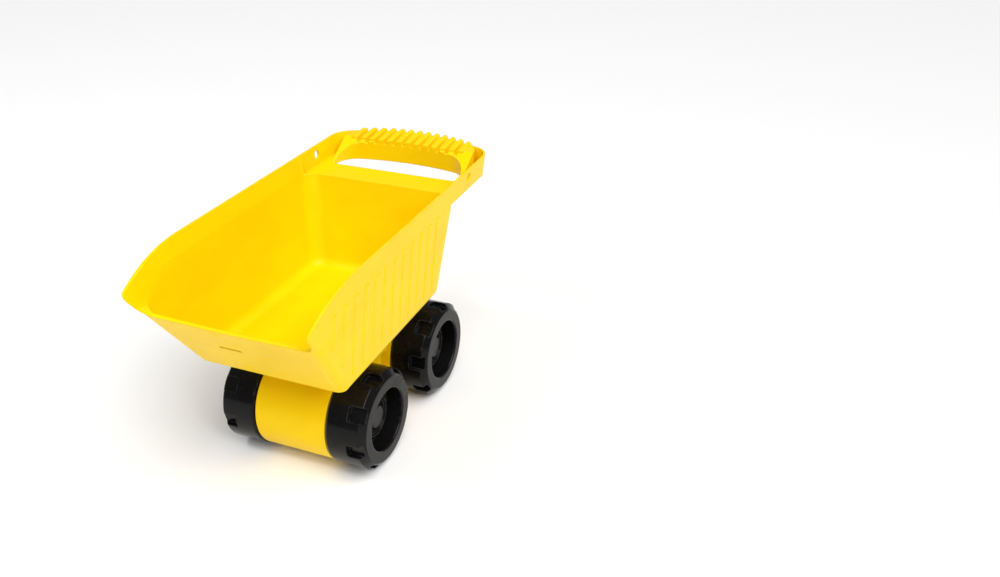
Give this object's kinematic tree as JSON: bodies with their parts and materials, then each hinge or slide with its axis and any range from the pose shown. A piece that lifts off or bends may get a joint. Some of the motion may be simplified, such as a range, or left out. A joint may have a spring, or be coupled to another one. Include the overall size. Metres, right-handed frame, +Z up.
{
  "type": "push-along toy dump truck",
  "caption": "Push-along toy truck with an open dump bed, ribbed grip with a finger slot, drum-shaped axle housings and wide lugged wheels.",
  "frame": {"origin": "on the ground plane, at the middle of the toy's overall length and width", "axes": "+Z up; -Y towards the pouring lip (front), +Y towards the grip; +X to the toy's own left, as it travels towards -Y"},
  "size_m": [0.14, 0.2906, 0.1866],
  "materials": {
    "bed_plastic": "semi-gloss moulded polypropylene, bright yellow",
    "chassis_plastic": "semi-gloss moulded polypropylene, bright yellow",
    "wheel_plastic": "glossy black moulded plastic",
    "cap_plastic": "glossy black moulded plastic",
    "bush_plastic": "natural acetal",
    "steel": "zinc-plated steel"
  },
  "bodies": {
    "chassis": {"dump_bed": "bed_plastic", "chassis_housing": "chassis_plastic", "chassis_cover": "chassis_plastic", "bed_screws": "steel", "cover_screws": "steel", "front_axle": "steel", "front_left_washer": "steel", "front_left_retainer": "steel", "front_right_washer": "steel", "front_right_retainer": "steel", "rear_axle": "steel", "rear_left_washer": "steel", "rear_left_retainer": "steel", "rear_right_washer": "steel", "rear_right_retainer": "steel"},
    "front_left_wheel": {"front_left_wheel": "wheel_plastic", "front_left_hub_bush": "bush_plastic", "front_left_hub_cap": "cap_plastic"},
    "front_right_wheel": {"front_right_wheel": "wheel_plastic", "front_right_hub_bush": "bush_plastic", "front_right_hub_cap": "cap_plastic"},
    "rear_left_wheel": {"rear_left_wheel": "wheel_plastic", "rear_left_hub_bush": "bush_plastic", "rear_left_hub_cap": "cap_plastic"},
    "rear_right_wheel": {"rear_right_wheel": "wheel_plastic", "rear_right_hub_bush": "bush_plastic", "rear_right_hub_cap": "cap_plastic"}
  },
  "joints": [
    {"name": "front_left_spin", "type": "hinge", "parent": "chassis", "child": "front_left_wheel", "pos_m": [0.045, -0.05065, 0.038], "axis": [1, 0, 0], "continuous": true},
    {"name": "front_right_spin", "type": "hinge", "parent": "chassis", "child": "front_right_wheel", "pos_m": [-0.045, -0.05065, 0.038], "axis": [1, 0, 0], "continuous": true},
    {"name": "rear_left_spin", "type": "hinge", "parent": "chassis", "child": "rear_left_wheel", "pos_m": [0.045, 0.04955, 0.038], "axis": [1, 0, 0], "continuous": true},
    {"name": "rear_right_spin", "type": "hinge", "parent": "chassis", "child": "rear_right_wheel", "pos_m": [-0.045, 0.04955, 0.038], "axis": [1, 0, 0], "continuous": true}
  ]
}
